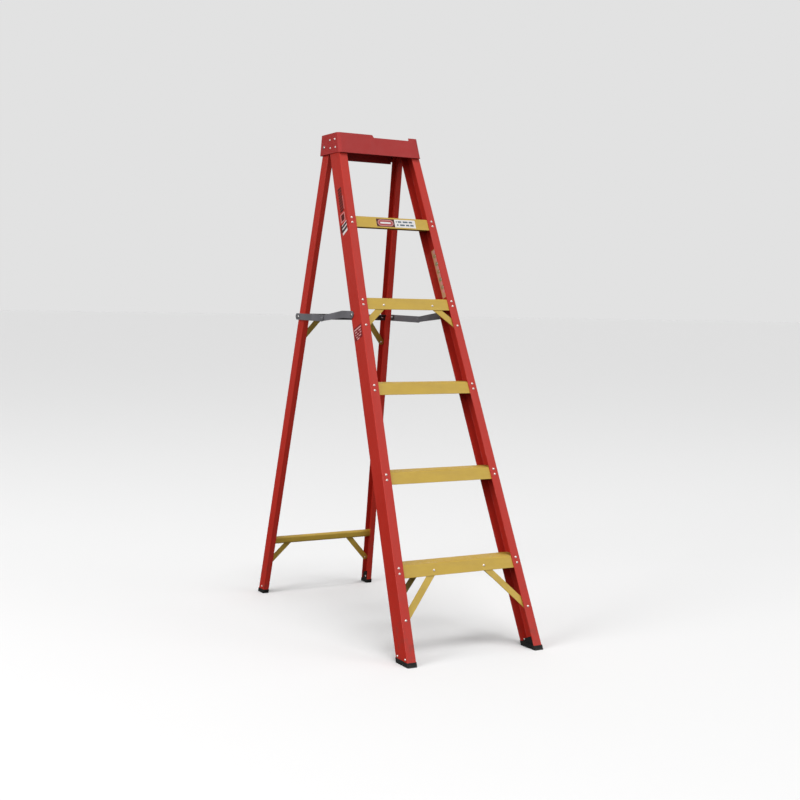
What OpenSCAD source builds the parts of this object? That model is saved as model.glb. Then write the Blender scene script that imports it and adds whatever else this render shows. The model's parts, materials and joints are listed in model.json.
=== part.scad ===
// Folding step ladder: channel rails, ribbed steps, moulded top cap and a rear frame
// that is held open by a two-link spreader on each side.
// Frame: X across the ladder, Y from the climbing side to the back, Z up.
// The origin is on the floor, in the middle of the four feet.

/* [Stance] */
// Lean of the front rails from upright, in degrees
front_lean = 23; // [22.5:0.1:23.5]
// Lean of the rear rails from upright, in degrees
rear_lean = 11.8; // [11.5:0.1:12.1]
// Floor distance from the front rails' front face to the rear rails' back face
stance = 1185; // [1175:1:1190]

/* [Front rails] */
// Width over the front rails on the floor
front_base_w = 508; // [490:1:520]
// Width over the front rails six step pitches up
front_top_w = 318; // [312:1:324]
// Depth of the front channel's web
front_web = 70; // [66:1:72]
// Width of the front channel's flanges
front_flange = 31; // [28:1:34]
// Wall thickness of the front channel
front_wall = 3.6; // [3.2:0.1:4.2]

/* [Rear rails] */
// Width over the rear rails on the floor
rear_base_w = 472; // [460:1:476]
// Width over the rear rails six step pitches up
rear_top_w = 290; // [284:1:294]
// Depth of the rear channel's web
rear_web = 46; // [42:1:48]
// Width of the rear channel's flanges
rear_flange = 20; // [18:1:22]
// Wall thickness of the rear channel
rear_wall = 3; // [2.6:0.1:3.4]

/* [Steps] */
// Distance from one step to the next, along the front rails
step_pitch = 304.8; // [300:0.1:305]
// Height of a step's front and rear aprons
apron_h = 40; // [36:1:44]
// Sheet thickness of a step
step_wall = 2; // [1.6:0.1:2.4]
// Height of the anti-slip ribs on a tread
rib_h = 0.9; // [0.5:0.1:1.4]
// Distance from rib to rib on a tread
rib_pitch = 5; // [4:0.5:8]

/* [Top cap] */
// Height of the cap's rim above the floor
cap_top_z = 1708; // [1704:1:1712]
// Height of the cap's front and sides
cap_h = 71; // [66:1:76]
// How much lower the cap's back wall reaches than its front
cap_back_drop = 8; // [4:1:10]
// Wall thickness of the cap
cap_wall = 4; // [3:0.1:5]
// Depth of the tool tray below the rim
tray_depth = 10; // [8:0.5:12]
// Radius of the cap's upright corners
cap_corner_r = 13; // [8:1:16]
// Radius of the two round tool holes
tool_hole_r = 11; // [8:0.5:14]

/* [Spreaders] */
// Thickness of a spreader link
link_t = 3; // [2.5:0.1:3.5]
// How far the locked centre joint sits below the line between the outer pivots
link_sag = 9; // [7:0.5:12]
// Radius of the pivot pins
pivot_r = 4; // [3:0.5:5]

/* [Feet and rivets] */
// Thickness of the rubber under the rails
sole_h = 12; // [10:0.5:15]
// How far the rubber stands out around a rail
boot_wall = 2.5; // [2:0.1:3]
// Radius of the rivets' shanks
rivet_r = 2.4; // [2:0.1:3]
// Radius of the rivets' heads
rivet_head_r = 4.1; // [3.6:0.1:5]

/* [Hidden] */
$fn = 48;

LEFT = -1;
RIGHT = 1;
STEPS = [1:5];
// Clearance around a pin or rivet in its hole
fit_gap = 0.05;
// Overshoot of a cutting solid past the face that it cuts
cut = 1;
// Length of a clipping solid that reaches past the whole ladder
far = 2000;
// Depth of a cut that goes right through a wall
through = 100;
// Gap between a web and the end of a step or bar between the webs
end_gap = 0.6;

rail_span = 6 * step_pitch;
front_taper = (front_base_w - front_top_w) / 2 / rail_span;
rear_taper = (rear_base_w - rear_top_w) / 2 / rail_span;
front_tilt = atan(front_taper);
rear_tilt = atan(rear_taper);
rail_top_z = cap_top_z - tray_depth - cap_wall;
// Middle of the footprint, measured back from the front rails' front face
mid_y = (stance + boot_wall / cos(rear_lean) - boot_wall / cos(front_lean)) / 2;

// Half the width over the front or rear rails, at distance t along them from the floor
function front_half(t) = front_base_w / 2 - t * front_taper;
function rear_half(t) = rear_base_w / 2 - t * rear_taper;
// Points in the YZ plane: t along a rail from the floor, d deep into it from its outer face
function front_pt(t, d) = [t * sin(front_lean) + d * cos(front_lean) - mid_y,
                           t * cos(front_lean) - d * sin(front_lean)];
function rear_pt(t, d) = [stance - t * sin(rear_lean) - d * cos(rear_lean) - mid_y,
                          t * cos(rear_lean) - d * sin(rear_lean)];
// Distance along the rail of a point at height z and depth d
function front_t(z, d) = (z + d * sin(front_lean)) / cos(front_lean);
function rear_t(z, d) = (z + d * sin(rear_lean)) / cos(rear_lean);
// Points along an arc
function arc(c, r, a0, a1, n = 6) =
    [for (i = [0:n]) let (a = a0 + (a1 - a0) * i / n) c + r * [cos(a), sin(a)]];

// ---------- frames ----------
// Along the front rails: local Z runs up the rail and local Y into its depth
module front_plane() {
    translate([0, -mid_y, 0]) rotate([-front_lean, 0, 0]) children();
}

// Along the rear rails: local Z runs up the rail, and its depth runs along local -Y
module rear_plane() {
    translate([0, stance - mid_y, 0]) rotate([rear_lean, 0, 0]) children();
}

// The left side's shape, mirrored for the right side
module on_side(side) {
    mirror([side == RIGHT ? 1 : 0, 0, 0]) children();
}

// Along one front rail: local X runs from the web's outer face to the middle
module front_rail_frame(side) {
    front_plane() on_side(side)
        translate([-front_base_w / 2, 0, 0]) rotate([0, front_tilt, 0]) children();
}

module rear_rail_frame(side) {
    rear_plane() on_side(side)
        translate([-rear_base_w / 2, 0, 0]) rotate([0, rear_tilt, 0]) children();
}

// Everything between two heights
module slab(z0, z1) {
    translate([-far / 2, -far / 2, z0]) cube([far, far, z1 - z0]);
}

// A flat shape in the YZ plane, extruded along X from x0 to x1 on the left side
module along_x(x0, x1) {
    translate([x0, 0, 0]) rotate([90, 0, 90]) linear_extrude(x1 - x0) children();
}

// ---------- fasteners ----------
head_h = 2.2;
// Radius of the head that is formed last, as a part of the first head's
formed = 0.85;

// Domed head that rises from z = 0
module head(r, h) {
    ball_r = (r * r + h * h) / (2 * h);
    rotate_extrude() intersection() {
        translate([0, h - ball_r]) circle(ball_r);
        square([r, h]);
    }
}

// Rivet along Z: outer head below z = 0, shank up to z = grip, formed head above it
module rivet(grip) {
    mirror([0, 0, 1]) head(rivet_head_r, head_h);
    cylinder(r = rivet_r, h = grip);
    translate([0, 0, grip]) head(rivet_head_r * formed, head_h);
}

module drill(r, depth) {
    translate([0, 0, -cut]) cylinder(r = r + fit_gap, h = depth + 2 * cut);
}

// Moves to a spot on the front rails' front flange (local Z points into the depth)
module at_front(x, t, d = 0) {
    front_plane() translate([x, d, t]) rotate([-90, 0, 0]) children();
}

// The same on their rear flange, looking forward
module at_front_back(x, t) {
    front_plane() translate([x, front_web, t]) rotate([90, 0, 0]) children();
}

// A spot on the rear rails' back face, looking forward
module at_rear(x, t) {
    rear_plane() translate([x, 0, t]) rotate([90, 0, 0]) children();
}

// ---------- rails ----------
// Channel section with rounded outer corners, open towards +X
module channel(web, flange, wall, r) {
    difference() {
        union() {
            translate([r, 0]) square([flange - r, web]);
            translate([0, r]) square([r, web - 2 * r]);
            for (y = [r, web - r]) translate([r, y]) circle(r);
        }
        translate([wall, wall]) square([flange, web - 2 * wall]);
    }
}

front_corner_r = 2.5;
rear_corner_r = 2;
rivet_inset = 15.2;
// Rivet heights at a step, counted from the step's own place on the rail
front_rivet_ts = [5, -13];
back_rivet_ts = [29, 13];

// Children at each rivet of one step on one side
module step_rivet_spots(k, side) {
    for (dt = front_rivet_ts) {
        t = k * step_pitch + dt;
        at_front(side * (front_half(t) - rivet_inset), t) children();
    }
    for (dt = back_rivet_ts) {
        t = k * step_pitch + dt;
        at_front_back(side * (front_half(t) - rivet_inset), t) children();
    }
}

// Rivets of the front knee braces: [across, along] on the apron and on the flange
bottom_apron_spot = [95, step_pitch - 11];
bottom_flange_t = 145;
upper_step = 4;
upper_apron_spot = [96, upper_step * step_pitch - 12];
upper_flange_t = upper_step * step_pitch - 86;
back_apron_spot = [115, step_pitch + 9];
back_flange_t = 200;

function flange_spot(t) = [front_half(t) - rivet_inset, t];

foot_rivet_z = 21;
foot_rivet_ds = [12, 58];
// Cap rivets as [y back from the front face on the floor, height]
cap_rivet_spots = [[729, 1685], [768.5, 1685], [721, 1656.5], [761, 1656.5]];
// The same spot as [t, d] along the rail
function to_rail(p) = [p[0] * sin(front_lean) + p[1] * cos(front_lean),
                       p[0] * cos(front_lean) - p[1] * sin(front_lean)];

// Children at a spot on the outer face of a front rail's web, looking inward
module at_web(side, t, d) {
    front_rail_frame(side) translate([0, d, t / cos(front_tilt)]) rotate([0, 90, 0]) children();
}

module at_rear_web(side, t, d) {
    rear_rail_frame(side) translate([0, -d, t / cos(rear_tilt)]) rotate([0, 90, 0]) children();
}

module front_rail_blank(side) {
    intersection() {
        front_rail_frame(side) linear_extrude(far)
            channel(front_web, front_flange, front_wall, front_corner_r);
        slab(sole_h, rail_top_z);
    }
}

module front_rail(side) {
    color("#b52f2b") difference() {
        front_rail_blank(side);
        for (k = STEPS) step_rivet_spots(k, side) drill(rivet_r, front_wall);
        for (t = [bottom_flange_t, upper_flange_t])
            at_front(side * flange_spot(t)[0], t) drill(rivet_r, front_wall);
        at_front_back(side * flange_spot(back_flange_t)[0], back_flange_t)
            drill(rivet_r, front_wall);
        for (d = foot_rivet_ds)
            at_web(side, front_t(foot_rivet_z, d), d) drill(rivet_r, front_wall);
        for (p = cap_rivet_spots) at_web(side, to_rail(p)[0], to_rail(p)[1])
            drill(rivet_r, front_wall);
        front_pivot_axis(side) drill(pivot_r, through);
    }
}

// ---------- steps ----------
nose_r = 4;
apron_low = 12 - apron_h;
tread_rise = (front_web - 2 * front_wall) * tan(front_lean);

// Section of a step in [depth, along the rail], with its tread level when the ladder stands
module step_profile() {
    d0 = front_wall;
    d1 = front_web - front_wall;
    top = apron_low + apron_h;
    back_low = apron_low + tread_rise;
    u = [cos(front_lean), sin(front_lean)];
    n = [-sin(front_lean), cos(front_lean)];
    nose_drop = nose_r * (1 / cos(front_lean) - tan(front_lean));
    heel_drop = nose_r * (1 / cos(front_lean) + tan(front_lean));
    nose = [d0 + nose_r, top - nose_drop];
    heel = [d1 - nose_r, top + tread_rise - heel_drop];
    inner_r = nose_r - step_wall;
    ribs_from = nose + nose_r * n;
    rib_w = rib_pitch * 0.4;
    rib_count = floor((norm(heel - nose) - rib_w) / rib_pitch);
    polygon(concat(
        [[d0, apron_low]],
        arc(nose, nose_r, 180, 90 + front_lean),
        [for (i = [0:rib_count]) let (p = ribs_from + (i * rib_pitch + rib_w / 2) * u)
            each [p, p + rib_h * n, p + rib_h * n + rib_w * u, p + rib_w * u]],
        arc(heel, nose_r, 90 + front_lean, 0),
        [[d1, back_low], [d1 - step_wall, back_low]],
        arc(heel, inner_r, 0, 90 + front_lean),
        arc(nose, inner_r, 90 + front_lean, 180),
        [[d0 + step_wall, apron_low]]));
}

// Space between the two webs, as wide as a step is long
module between_webs() {
    front_plane() rotate([90, 0, 0]) linear_extrude(far, center = true)
        polygon([for (c = [[LEFT, 0], [RIGHT, 0], [RIGHT, far], [LEFT, far]])
            [c[0] * (front_half(c[1]) - front_wall - end_gap), c[1]]]);
}

module step(k) {
    t = k * step_pitch;
    color("#c8a94a") difference() {
        intersection() {
            front_plane() translate([0, 0, t]) along_x(-front_base_w / 2, front_base_w / 2)
                step_profile();
            between_webs();
        }
        for (side = [LEFT, RIGHT]) step_rivet_spots(k, side) drill(rivet_r, front_wall + step_wall);
        if (k == 1) {
            brace_top_holes(bottom_apron_spot);
            for (side = [LEFT, RIGHT])
                at_front_back(side * back_apron_spot[0], back_apron_spot[1])
                    drill(rivet_r, front_wall + step_wall);
        }
        if (k == upper_step) brace_top_holes(upper_apron_spot);
    }
}

module brace_top_holes(spot) {
    for (side = [LEFT, RIGHT]) at_front(side * spot[0], spot[1])
        drill(rivet_r, front_wall + step_wall);
}

module step_rivets() {
    color("silver") for (k = STEPS, side = [LEFT, RIGHT])
        step_rivet_spots(k, side) rivet(front_wall + step_wall);
}

// ---------- knee braces ----------
brace_w = 23;
back_brace_w = 18.4;
brace_t = 2.5;
brace_pad_r = 7.5;

// Flat strap between two points, with round ends
module strap(p, q, w) {
    d = q - p;
    translate(p) rotate(atan2(d[1], d[0])) {
        translate([0, -w / 2]) square([norm(d), w]);
        for (x = [0, norm(d)]) translate([x, 0]) circle(w / 2);
    }
}

// Brace in the plane of the XZ points p (on the apron) and q (on the flange); it lies
// one sheet deeper than the flange, so a pressed pad closes the gap at q
module brace_solid(p, q, w, pad) {
    difference() {
        union() {
            translate([0, 0, pad]) linear_extrude(brace_t) strap(p, q, w);
            if (pad > 0) translate([q[0], q[1], 0]) cylinder(r = brace_pad_r, h = pad + cut);
        }
        for (c = [p, q]) translate([c[0], c[1], 0]) drill(rivet_r, pad + brace_t);
    }
}

module front_brace(side, apron_spot, flange_t) {
    color("#d2b456") front_plane() on_side(-side) translate([0, front_wall, 0])
        rotate([-90, 0, 0]) mirror([0, 1, 0])
        brace_solid(apron_spot, flange_spot(flange_t), brace_w, step_wall);
}

module back_brace(side) {
    color("#6a5420") front_plane() on_side(-side) translate([0, front_web - front_wall, 0])
        rotate([90, 0, 0])
        brace_solid(back_apron_spot, flange_spot(back_flange_t), back_brace_w, step_wall);
}

module front_brace_rivets() {
    pile = front_wall + step_wall + brace_t;
    color("silver") for (side = [LEFT, RIGHT]) {
        for (t = [bottom_flange_t, upper_flange_t])
            at_front(side * flange_spot(t)[0], t) rivet(pile);
        at_front_back(side * flange_spot(back_flange_t)[0], back_flange_t) rivet(pile);
        // The apron rivets start at the apron's face, one flange thickness deeper
        for (p = [bottom_apron_spot, upper_apron_spot])
            at_front(side * p[0], p[1], front_wall) rivet(pile - front_wall);
        front_plane() translate([side * back_apron_spot[0], front_web - front_wall,
            back_apron_spot[1]]) rotate([90, 0, 0]) rivet(pile - front_wall);
    }
}

// ---------- feet ----------
groove_w = 5;
groove_h = 2;
// Tongues of the boots inside the channels: [thickness, length along the rail from the floor]
front_tongue = [18, 50];
rear_tongue = [12, 46];
tongue_r = 12;
seat_h = 2;
sole_corner_r = 6;

// Grooves across the bottom of a sole that starts at y0
module sole_grooves(y0, length) {
    for (i = [1:3]) translate([-far / 2, y0 + i * length / 4 - groove_w / 2, -cut])
        cube([far, groove_w, groove_h + cut]);
}

// A tongue as wide as the channel is inside, with round corners at its top
module tongue(size, web, wall) {
    width = web - 2 * wall;
    cube([size[0], width, size[1] - tongue_r]);
    translate([0, tongue_r, 0]) cube([size[0], width - 2 * tongue_r, size[1]]);
    for (y = [tongue_r, width - tongue_r])
        translate([0, y, size[1] - tongue_r]) rotate([0, 90, 0]) cylinder(r = tongue_r, h = size[0]);
}

// The outline of a sole, with round corners, as a prism along the rail
module sole_block(web, flange) {
    r = sole_corner_r;
    w = flange + 2 * boot_wall;
    l = web + 2 * boot_wall;
    translate([-boot_wall, -boot_wall, -far / 2]) {
        translate([r, 0, 0]) cube([w - 2 * r, l, far]);
        translate([0, r, 0]) cube([w, l - 2 * r, far]);
        for (x = [r, w - r], y = [r, l - r]) translate([x, y, 0]) cylinder(r = r, h = far);
    }
}

module front_foot(side) {
    color("#1a1a1a") difference() {
        union() {
            intersection() {
                front_rail_frame(side) sole_block(front_web, front_flange);
                slab(0, sole_h + seat_h);
            }
            intersection() {
                front_rail_frame(side) translate([front_wall, front_wall, 0])
                    tongue(front_tongue, front_web, front_wall);
                slab(sole_h, far);
            }
        }
        front_rail_blank(side);
        for (d = foot_rivet_ds)
            at_web(side, front_t(foot_rivet_z, d), d) drill(rivet_r, front_wall + front_tongue[0]);
        sole_grooves(front_pt(0, 0)[0], front_web / cos(front_lean));
    }
}

module front_foot_rivets() {
    color("silver") for (side = [LEFT, RIGHT], d = foot_rivet_ds)
        at_web(side, front_t(foot_rivet_z, d), d) rivet(front_wall + front_tongue[0]);
}

rear_foot_rivet_z = 24;

module rear_foot(side) {
    color("#1a1a1a") difference() {
        union() {
            intersection() {
                rear_rail_frame(side) translate([0, -rear_web, 0])
                    sole_block(rear_web, rear_flange);
                slab(0, sole_h + seat_h);
            }
            intersection() {
                rear_rail_frame(side) translate([rear_wall, rear_wall - rear_web, 0])
                    tongue(rear_tongue, rear_web, rear_wall);
                slab(sole_h, far);
            }
        }
        rear_rail_blank(side);
        at_rear_web(side, rear_t(rear_foot_rivet_z, rear_web / 2), rear_web / 2)
            drill(rivet_r, rear_wall + rear_tongue[0]);
        sole_grooves(rear_pt(0, rear_web)[0], rear_web / cos(rear_lean));
    }
}

module rear_foot_rivets() {
    color("silver") for (side = [LEFT, RIGHT])
        at_rear_web(side, rear_t(rear_foot_rivet_z, rear_web / 2), rear_web / 2)
            rivet(rear_wall + rear_tongue[0]);
}

// ---------- rear frame ----------
// The rear rails turn on pins through the cap, at this distance up them
hinge_t = 1704.6;
hinge = rear_pt(hinge_t, rear_web / 2);
rear_inset = 14;
upper_bar_t = [1077, 1099];
upper_bar_leg = 12;
upper_bar_wall = 2.2;
upper_bar_rivet_t = 1088;
lower_bar_t = 212;
lower_bar_h = 29;
lower_bar_deep = 16;
lower_bar_wall = 2;
rear_brace_w = 21;
// Ends of the rear knee braces, [across, along]: first on the bar, then on the flange
function brace_ends(x, t, foot_t) = [[x, t], [rear_half(foot_t) - rear_inset, foot_t]];
upper_rear_spots = brace_ends(98, 1085, 993);
lower_rear_spots = brace_ends(120, lower_bar_t - 2.5, 105);

module rear_rail_blank(side) {
    intersection() {
        rear_rail_frame(side) {
            linear_extrude(hinge_t / cos(rear_tilt)) translate([0, -rear_web])
                channel(rear_web, rear_flange, rear_wall, rear_corner_r);
            translate([0, -rear_web / 2, hinge_t / cos(rear_tilt)]) rotate([0, 90, 0])
                cylinder(r = rear_web / 2, h = rear_wall);
        }
        slab(sole_h, far);
    }
}

// Children at every rivet on one rear rail's back flange
module rear_flange_spots(side) {
    for (t = [upper_bar_rivet_t, lower_bar_t, upper_rear_spots[1][1], lower_rear_spots[1][1]])
        at_rear(side * (rear_half(t) - rear_inset), t) children();
}

module rear_rail(side) {
    color("#a52a26") difference() {
        rear_rail_blank(side);
        rear_flange_spots(side) drill(rivet_r, rear_wall);
        at_rear_web(side, rear_t(rear_foot_rivet_z, rear_web / 2), rear_web / 2)
            drill(rivet_r, rear_wall);
        rear_pivot_axis(side) drill(pivot_r, through);
        hinge_axis(side) drill(pivot_r, through);
    }
}

module between_rear_webs() {
    rear_plane() rotate([90, 0, 0]) linear_extrude(far, center = true)
        polygon([for (c = [[LEFT, 0], [RIGHT, 0], [RIGHT, far], [LEFT, far]])
            [c[0] * (rear_half(c[1]) - rear_wall - end_gap), c[1]]]);
}

module upper_rear_bar() {
    color("#3b3f42") difference() {
        intersection() {
            // An angle, so that the knee braces pass below its one leg
            rear_plane() along_x(-far / 2, far / 2) difference() {
                translate([-rear_wall - upper_bar_leg, upper_bar_t[0]])
                    square([upper_bar_leg, upper_bar_t[1] - upper_bar_t[0]]);
                translate([-rear_wall - upper_bar_leg - cut, upper_bar_t[0] - cut])
                    square([upper_bar_leg + cut - upper_bar_wall,
                            upper_bar_t[1] - upper_bar_t[0] + cut - upper_bar_wall]);
            }
            between_rear_webs();
        }
        for (side = [LEFT, RIGHT]) {
            at_rear(side * (rear_half(upper_bar_rivet_t) - rear_inset), upper_bar_rivet_t)
                drill(rivet_r, rear_wall + upper_bar_wall);
            at_rear(side * upper_rear_spots[0][0], upper_rear_spots[0][1])
                drill(rivet_r, rear_wall + upper_bar_wall);
        }
    }
}

// Section of the oval tube, drawn about its own centre
module oval(deep, high) {
    r = deep / 2;
    square([deep, high - deep], center = true);
    for (s = [-1, 1]) translate([0, s * (high / 2 - r)]) circle(r);
}

module lower_rear_bar() {
    tube_back = rear_wall + brace_t;
    pad_w = 26;
    color("#c8a94a") difference() {
        intersection() {
            rear_plane() union() {
                along_x(-far / 2, far / 2)
                    translate([-tube_back - lower_bar_deep / 2, lower_bar_t]) difference() {
                        oval(lower_bar_deep, lower_bar_h);
                        oval(lower_bar_deep - 2 * lower_bar_wall,
                             lower_bar_h - 2 * lower_bar_wall);
                    }
                for (side = [LEFT, RIGHT])
                    translate([side * (rear_half(lower_bar_t) - pad_w / 2), 0, lower_bar_t])
                        translate([-pad_w / 2, -tube_back - lower_bar_wall,
                                   (lower_bar_deep - lower_bar_h) / 2])
                            cube([pad_w, brace_t + lower_bar_wall,
                                  lower_bar_h - lower_bar_deep]);
            }
            between_rear_webs();
        }
        for (side = [LEFT, RIGHT]) {
            at_rear(side * (rear_half(lower_bar_t) - rear_inset), lower_bar_t)
                drill(rivet_r, tube_back + lower_bar_wall);
            at_rear(side * lower_rear_spots[0][0], lower_rear_spots[0][1])
                drill(rivet_r, tube_back + lower_bar_wall);
        }
    }
}

module rear_brace(side, spots, pad) {
    color("#7c6526") rear_plane() on_side(-side) translate([0, -rear_wall, 0])
        rotate([90, 0, 0]) brace_solid(spots[0], spots[1], rear_brace_w, pad);
}

module rear_rivets() {
    color("silver") for (side = [LEFT, RIGHT]) {
        at_rear(side * (rear_half(upper_bar_rivet_t) - rear_inset), upper_bar_rivet_t)
            rivet(rear_wall + upper_bar_wall);
        at_rear(side * (rear_half(lower_bar_t) - rear_inset), lower_bar_t)
            rivet(rear_wall + brace_t + lower_bar_wall);
        at_rear(side * upper_rear_spots[1][0], upper_rear_spots[1][1])
            rivet(rear_wall + upper_bar_wall + brace_t);
        at_rear(side * lower_rear_spots[1][0], lower_rear_spots[1][1])
            rivet(rear_wall + brace_t);
        // These start at the face of a bar or brace, one flange thickness deeper
        at_rear(side * upper_rear_spots[0][0], upper_rear_spots[0][1])
            translate([0, 0, rear_wall]) rivet(upper_bar_wall + brace_t);
        at_rear(side * lower_rear_spots[0][0], lower_rear_spots[0][1])
            translate([0, 0, rear_wall]) rivet(brace_t + lower_bar_wall);
    }
}

// ---------- top cap ----------
// Distances from the front rails' front face to the cap's front, at its top and bottom
cap_reach_top = 15.4;
cap_reach_low = 8.6;
// Distances from the hinge pins to the cap's back, at its top and bottom
cap_back_top = 32.5;
cap_back_low = 38;
cap_low_z = cap_top_z - cap_h;
cap_inner_r = 6;
notch_x = [-19, 124];
notch_slope = 6;
notch_depth = 9.5;
tool_hole_x = 78;
slot_l = 64;
slot_w = 18;
// How much wider the cap's hollow is cut before the webs' outer faces clip it
hollow_slack = 0.3;
// Gap between the back wall's low part and the rear rails
back_wall_gap = 1.5;

function front_face_y(z) = z * tan(front_lean) - mid_y;
// The cap's front and back at height z
function cap_front_y(z) = let (f = (cap_top_z - z) / cap_h)
    front_face_y(z) - cap_reach_top * (1 - f) - cap_reach_low * f;
function cap_back_y(z) = let (f = (cap_top_z - z) / cap_h)
    hinge[0] + cap_back_top * (1 - f) + cap_back_low * f;
// Half the width over the front rails' webs at a point of the YZ plane
function web_x(y, z) = front_half(z * cos(front_lean) + (y + mid_y) * sin(front_lean));

// Prism with four upright round corners, inset from the cap's outline
module cap_prism(z0, z1, inset, r) {
    disc_h = 0.1;
    hull() for (z = [z0, z1 - disc_h], s = [LEFT, RIGHT]) {
        for (y = [cap_front_y(z) + inset + r, cap_back_y(z) - inset - r])
            translate([s * (web_x(y, z) + cap_wall - inset - r), y, z])
                cylinder(r = r, h = disc_h, $fn = 32);
    }
}

// Space between the outer faces of the two front webs
module between_outer_faces() {
    front_plane() rotate([90, 0, 0]) linear_extrude(far, center = true)
        polygon([for (c = [[LEFT, 0], [RIGHT, 0], [RIGHT, far], [LEFT, far]])
            [c[0] * front_half(c[1]), c[1]]]);
}

module cap_notch() {
    z0 = cap_top_z - notch_depth;
    translate([0, cap_front_y(cap_top_z) + cap_wall * 2, 0]) rotate([90, 0, 0])
        linear_extrude(cap_wall * 6)
            polygon([[notch_x[0] - notch_slope, cap_top_z + cut], [notch_x[0], z0],
                     [notch_x[1], z0], [notch_x[1], cap_top_z + cut]]);
}

module tool_openings() {
    deck_z = rail_top_z - cut;
    y = (cap_front_y(cap_top_z) + cap_back_y(cap_top_z)) / 2;
    for (s = [LEFT, RIGHT]) translate([s * tool_hole_x, y, deck_z])
        cylinder(r = tool_hole_r, h = through);
    translate([0, y, deck_z]) linear_extrude(through)
        strap([-slot_l / 2, 0], [slot_l / 2, 0], slot_w);
}

module top_cap() {
    back_low_z = cap_low_z - cap_back_drop;
    back_wall_x = rear_half(cap_low_z / cos(rear_lean)) - rear_flange - back_wall_gap;
    color("#a63c3a") difference() {
        cap_prism(back_low_z, cap_top_z, 0, cap_corner_r);
        intersection() {
            cap_prism(back_low_z - cut, rail_top_z, cap_wall - hollow_slack, cap_inner_r);
            between_outer_faces();
        }
        cap_prism(rail_top_z + cap_wall, cap_top_z + cut, cap_wall, cap_corner_r - cap_wall);
        // Only the back wall reaches below the sides, between the rear rails
        translate([-far / 2, hinge[0] - far, back_low_z - cut])
            cube([far, far + rear_web / 2 + boot_wall, cap_low_z - back_low_z + cut]);
        for (s = [LEFT, RIGHT])
            translate([s * (far / 2 + back_wall_x) - far / 2, -far / 2, back_low_z - cut])
                cube([far, far * 2, cap_low_z - back_low_z + cut]);
        cap_notch();
        tool_openings();
        for (side = [LEFT, RIGHT]) {
            for (p = cap_rivet_spots) at_web(side, to_rail(p)[0], to_rail(p)[1])
                translate([0, 0, -cap_wall]) drill(rivet_r, cap_wall);
            hinge_axis(side) drill(pivot_r, cap_wall * 3);
        }
    }
}

module cap_rivets() {
    color("silver") for (side = [LEFT, RIGHT], p = cap_rivet_spots)
        at_web(side, to_rail(p)[0], to_rail(p)[1]) translate([0, 0, -cap_wall])
            rivet(cap_wall + front_wall);
}

// ---------- hinge and pivot pins ----------
pin_head_r = 6.5;
pin_head_h = 2.5;
// Clearance between a pin's flat head and a wall that leans away from it
lean_gap = 0.5;
// Clearance between a pin's head or a sleeve and the flat link beside it
face_gap = 0.1;
// Clearances from the front web to the front link, and from one link to the other
web_link_gap = 1.2;
link_gap = 0.6;
collar_r = 7.5;
sleeve_r = 8;
front_pivot_t = 1193;
front_pivot_d = 59;
rear_pivot_t = 1093;
rear_pivot_d = 30;
front_pivot = front_pt(front_pivot_t, front_pivot_d);
rear_pivot = rear_pt(rear_pivot_t, rear_pivot_d);
cap_outer_x = web_x(hinge[0], hinge[1]) + cap_wall;
// Layers of the spreader, outward from the front rail: inner face of each link
front_link_x = front_half(front_pivot_t) + web_link_gap;
rear_link_x = front_link_x + link_t + link_gap;

// Children on a pin's axis with local Z pointing inward, from x = 0 of the left side
module pin_axis(side, x, p) {
    on_side(side) translate([-x, p[0], p[1]]) rotate([0, 90, 0]) children();
}

module hinge_axis(side) {
    pin_axis(side, cap_outer_x + lean_gap, hinge) children();
}

module front_pivot_axis(side) {
    pin_axis(side, front_link_x + link_t, front_pivot) children();
}

module rear_pivot_axis(side) {
    pin_axis(side, rear_link_x + link_t, rear_pivot) children();
}

// Pin along Z: outer head below z = 0, shank of the given length, inner head beyond it
module pin(length) {
    mirror([0, 0, 1]) head(pin_head_r, pin_head_h);
    cylinder(r = pivot_r, h = length);
    translate([0, 0, length]) head(pin_head_r * formed, pin_head_h);
}

module hinge_pin(side) {
    wall_in = cap_outer_x - cap_wall;
    rail_out = rear_half(hinge_t);
    start = cap_outer_x + lean_gap;
    color("#8d9296") hinge_axis(side) {
        pin(start - rail_out + rear_wall + lean_gap);
        translate([0, 0, start - wall_in + lean_gap])
            cylinder(r = collar_r, h = wall_in - rail_out - 2 * lean_gap);
    }
}

module front_pivot_pin(side) {
    color("#8d9296") front_pivot_axis(side) translate([0, 0, -face_gap])
        pin(face_gap + front_link_x + link_t - front_half(front_pivot_t) + front_wall + lean_gap);
}

module rear_pivot_pin(side) {
    color("#8d9296") rear_pivot_axis(side) translate([0, 0, -face_gap])
        pin(face_gap + rear_link_x + link_t - rear_half(rear_pivot_t) + rear_wall + lean_gap);
}

module rear_pivot_spacer(side) {
    sleeve_l = rear_link_x - rear_half(rear_pivot_t) - lean_gap;
    color("#8d9296") rear_pivot_axis(side) translate([0, 0, link_t + face_gap]) difference() {
        cylinder(r = sleeve_r, h = sleeve_l);
        drill(pivot_r, through);
    }
}

// ---------- spreaders ----------
link_split = 0.535;
span_dir = (rear_pivot - front_pivot) / norm(rear_pivot - front_pivot);
centre_joint = front_pivot + link_split * (rear_pivot - front_pivot)
    + link_sag * [span_dir[1], -span_dir[0]];
rear_link_r = 11.7;
stud_head_r = 5.6;
rear_link_tail = 10;
// The knee's place, as a part of the way to the centre joint, and its height over that line
front_link_knee = 0.3;
front_link_hump = 5;
front_link_r = 12.6;
front_link_tip_r = 9.8;

// Angle of the normal where a tangent leaves circle p towards circle q; side is 1 or -1
function tangent(p, rp, q, rq, side) =
    let (d = q - p) atan2(d[1], d[0]) + side * acos((rp - rq) / norm(d));

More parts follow.
